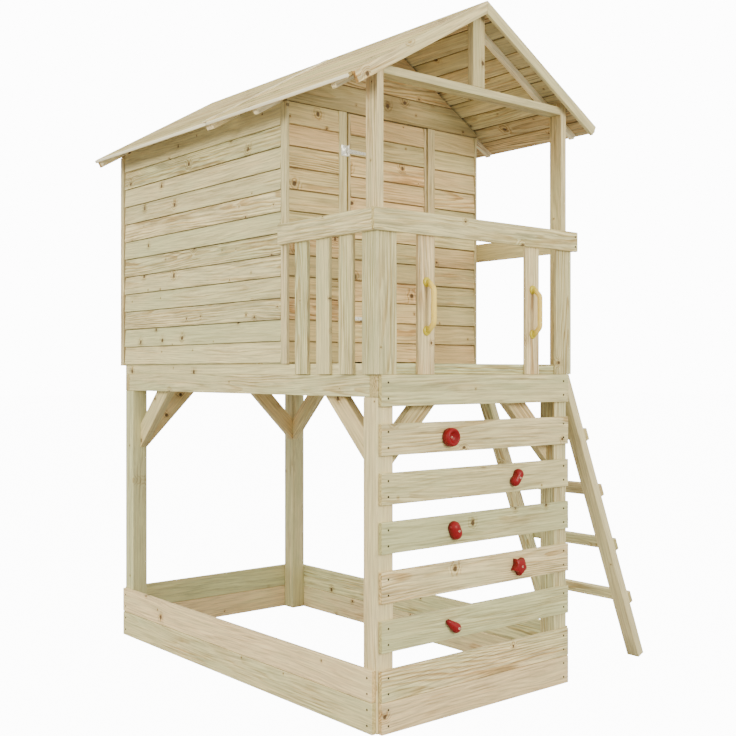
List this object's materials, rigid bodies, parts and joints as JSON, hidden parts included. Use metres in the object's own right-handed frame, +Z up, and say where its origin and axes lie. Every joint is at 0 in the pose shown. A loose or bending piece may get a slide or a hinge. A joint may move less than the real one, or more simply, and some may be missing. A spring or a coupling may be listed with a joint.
{
  "type": "wooden climbing frame",
  "caption": "Wooden play tower with a gabled cabin and balcony on a post platform, a board climbing wall with holds, a leaning ladder and a sandpit below.",
  "frame": {"origin": "on the ground under the middle of the part's box", "axes": "+Z up, the climbing wall faces -Y, the ladder stands on +X and the cabin lies toward +Y"},
  "size_m": [1.9633, 2.2338, 3.0022],
  "materials": {
    "timber": "planed, pressure treated softwood",
    "cladding": "planed lap boards",
    "roof_boards": "planed roof boards",
    "red_plastic": "moulded, gloss",
    "yellow_plastic": "moulded, satin",
    "zinc": "zinc plated"
  },
  "bodies": {
    "frame": {"post_front_left": "timber", "post_front_right": "timber", "post_rear_left": "timber", "post_rear_right": "timber", "beam_front": "timber", "beam_rear": "timber", "beam_left": "timber", "beam_right": "timber", "braces_ends": "timber", "braces_sides": "timber", "sandpit_front": "timber", "sandpit_rear": "timber", "sandpit_left": "timber", "sandpit_right": "timber", "front_top_board": "timber", "climbing_boards": "timber", "hold_round": "red_plastic", "hold_kidney": "red_plastic", "hold_oval": "red_plastic", "hold_star": "red_plastic", "hold_drop": "red_plastic", "hold_bolts": "zinc", "screws": "zinc", "deck_edges": "timber", "deck_joists": "timber", "floor_boards": "timber", "upper_posts": "timber", "tie_beam": "timber", "king_post": "timber", "rail_front": "timber", "rail_left": "timber", "rail_right": "timber", "corner_boards": "timber", "balusters_left": "timber", "balusters_front": "timber", "grips": "yellow_plastic", "stringer_near": "timber", "stringer_far": "timber", "rungs_set": "timber", "wall_studs": "timber", "wall_plates": "timber", "cladding_left": "cladding", "cladding_right": "cladding", "cladding_rear": "cladding", "cladding_front": "cladding", "gable_front": "cladding", "gable_rear": "cladding", "corner_trims": "timber", "door_battens": "timber", "hinge_plates": "zinc", "hinge_pins": "zinc", "roof_left": "roof_boards", "roof_right": "roof_boards", "bargeboards": "timber", "roof_cleats": "timber", "seam_strips": "timber"},
    "door": {"door_stiles": "timber", "door_rails": "timber", "door_boards": "cladding", "hinge_straps": "zinc"}
  },
  "joints": [
    {"name": "door_hinge", "type": "hinge", "parent": "frame", "child": "door", "pos_m": [-0.48179, -0.4621, 1.672], "axis": [0, 0, -1], "range_deg": [0, 110]}
  ]
}
